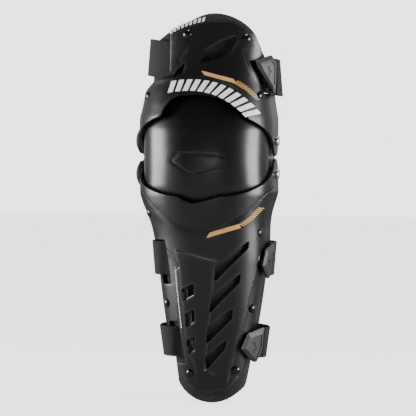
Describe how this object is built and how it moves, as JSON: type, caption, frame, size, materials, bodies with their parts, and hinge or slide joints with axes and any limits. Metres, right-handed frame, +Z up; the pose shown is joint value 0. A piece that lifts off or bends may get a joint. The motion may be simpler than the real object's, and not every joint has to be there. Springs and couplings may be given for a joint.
{
  "type": "knee and shin guard",
  "caption": "Hinged knee and shin guard for off-road riding: thigh, knee and shin shells over a padded liner, held by elastic straps with hook clips.",
  "frame": {"origin": "centre of the knee, on the middle plane, halfway between the upper and the lower pivot axis", "axes": "+Z up the leg, -Y to the front, +X to the wearer's left"},
  "size_m": [0.1976, 0.1639, 0.4807],
  "materials": {
    "shell_plastic": "satin",
    "cup_plastic": "glossy",
    "clip_rubber": "matte",
    "cap_plastic": "matte",
    "dark_steel": "glossy",
    "bright_steel": "polished",
    "nylon": "matte",
    "liner_fabric": "matte",
    "pad_foam": "matte",
    "strap_webbing": "matte"
  },
  "bodies": {
    "shin": {"shin_shell": "shell_plastic", "shin_liner": "liner_fabric", "shin_pad": "pad_foam", "shin_rivets": "dark_steel", "shin_rivet_washers": "bright_steel", "lower_pivot_bushes": "nylon", "upper_calf_strap": "strap_webbing", "lower_calf_strap": "strap_webbing"},
    "knee": {"knee_cup": "cup_plastic", "knee_liner": "liner_fabric", "knee_pad": "pad_foam", "pivot_posts": "bright_steel", "pivot_spacers": "nylon", "pivot_screws": "bright_steel", "upper_hinge_cap": "cap_plastic", "lower_hinge_cap": "cap_plastic"},
    "thigh": {"thigh_shell": "shell_plastic", "thigh_liner": "liner_fabric", "thigh_pad": "pad_foam", "thigh_rivets": "dark_steel", "thigh_rivet_washers": "bright_steel", "thigh_clip_seat": "shell_plastic", "upper_pivot_bushes": "nylon", "thigh_strap": "strap_webbing"},
    "thigh_clip": {"thigh_clip": "clip_rubber", "thigh_strap_end": "strap_webbing"},
    "upper_calf_clip": {"upper_calf_clip": "clip_rubber", "upper_calf_strap_end": "strap_webbing"},
    "lower_calf_clip": {"lower_calf_clip": "clip_rubber", "lower_calf_strap_end": "strap_webbing"}
  },
  "joints": [
    {"name": "lower_pivot", "type": "hinge", "parent": "shin", "child": "knee", "pos_m": [0, 0, -0.0206], "axis": [-1, 0, 0], "range_deg": [0, 50]},
    {"name": "upper_pivot", "type": "hinge", "parent": "knee", "child": "thigh", "pos_m": [0, 0, 0.0206], "axis": [-1, 0, 0], "range_deg": [0, 50]},
    {"name": "thigh_clip_release", "type": "hinge", "parent": "thigh", "child": "thigh_clip", "pos_m": [0.08847, -0.02862, 0.09908], "axis": [0.0084, 0.1314, 0.9913], "range_deg": [0, 40]},
    {"name": "upper_calf_clip_release", "type": "hinge", "parent": "shin", "child": "upper_calf_clip", "pos_m": [0.07933, -0.00796, -0.12611], "axis": [0.0801, -0.0132, 0.9967], "range_deg": [0, 40]},
    {"name": "lower_calf_clip_release", "type": "hinge", "parent": "shin", "child": "lower_calf_clip", "pos_m": [0.07113, -0.0222, -0.22922], "axis": [0.1093, -0.0754, 0.9912], "range_deg": [0, 40]}
  ]
}
